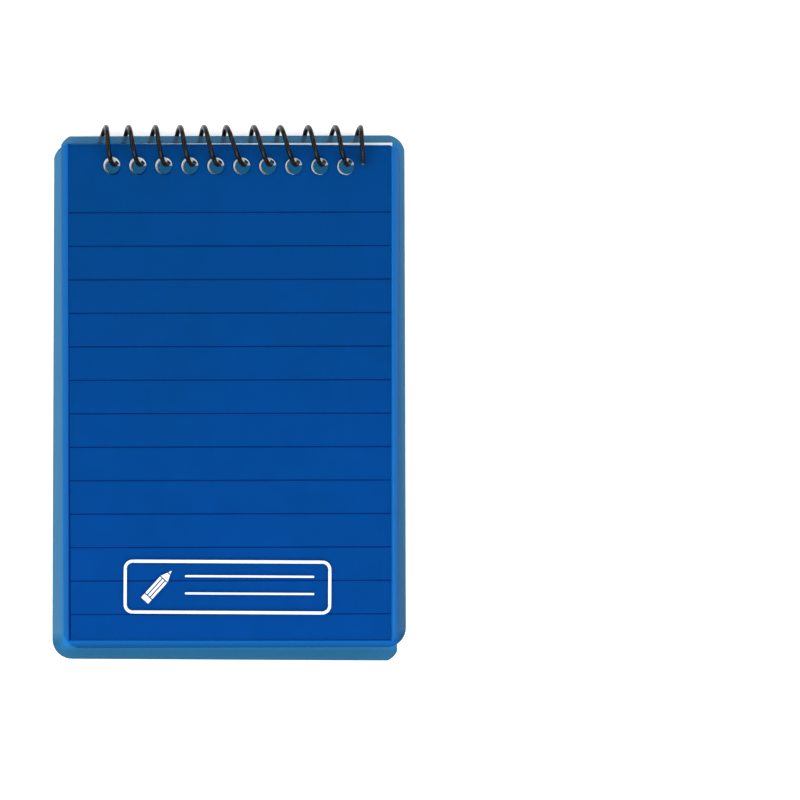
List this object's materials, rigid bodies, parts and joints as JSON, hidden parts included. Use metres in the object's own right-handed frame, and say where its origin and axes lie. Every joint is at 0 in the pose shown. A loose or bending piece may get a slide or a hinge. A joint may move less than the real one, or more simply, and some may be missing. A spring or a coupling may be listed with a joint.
{
  "type": "pocket notebook",
  "caption": "Pocket notebook with translucent blue plastic covers and ruled sheets, bound along the top edge by a black plastic-coated wire coil.",
  "frame": {"origin": "centre of the bottom of the bounding box, with the closed notebook lying on its back cover", "axes": "+X to the reader's right along the coil, +Y up the page towards the coil, +Z out of the front cover"},
  "size_m": [0.0856, 0.131, 0.0104],
  "materials": {
    "blue_cover": "satin",
    "white_paper": "matte",
    "black_wire": "satin"
  },
  "bodies": {
    "binding": {"spiral_coil": "black_wire", "sheet_11": "white_paper", "sheet_12": "white_paper", "sheet_13": "white_paper", "sheet_14": "white_paper", "sheet_15": "white_paper", "sheet_16": "white_paper", "sheet_17": "white_paper", "sheet_18": "white_paper", "sheet_19": "white_paper", "sheet_20": "white_paper", "sheet_21": "white_paper", "sheet_22": "white_paper", "sheet_23": "white_paper", "sheet_24": "white_paper", "sheet_25": "white_paper", "sheet_26": "white_paper", "sheet_27": "white_paper", "sheet_28": "white_paper", "sheet_29": "white_paper", "sheet_30": "white_paper", "sheet_31": "white_paper", "sheet_32": "white_paper", "sheet_33": "white_paper", "sheet_34": "white_paper", "sheet_35": "white_paper", "sheet_36": "white_paper", "sheet_37": "white_paper", "sheet_38": "white_paper", "sheet_39": "white_paper", "sheet_40": "white_paper"},
    "upper_pages": {"sheet_01": "white_paper", "sheet_02": "white_paper", "sheet_03": "white_paper", "sheet_04": "white_paper", "sheet_05": "white_paper", "sheet_06": "white_paper", "sheet_07": "white_paper", "sheet_08": "white_paper", "sheet_09": "white_paper", "sheet_10": "white_paper"},
    "front_cover": {"front_cover": "blue_cover"},
    "back_cover": {"back_cover": "blue_cover"}
  },
  "joints": [
    {"name": "turn_upper_pages", "type": "hinge", "parent": "binding", "child": "upper_pages", "pos_m": [0, 0.06078, 0.00639], "axis": [-1, 0, 0], "range_deg": [0, 180], "deforming": ["spiral_coil"]},
    {"name": "turn_front_cover", "type": "hinge", "parent": "upper_pages", "child": "front_cover", "pos_m": [0, 0.06078, 0.00639], "axis": [-1, 0, 0], "range_deg": [0, 180], "deforming": ["spiral_coil"]},
    {"name": "turn_back_cover", "type": "hinge", "parent": "binding", "child": "back_cover", "pos_m": [0, 0.0621, 0.00361], "axis": [1, 0, 0], "range_deg": [0, 180], "deforming": ["spiral_coil"]}
  ]
}
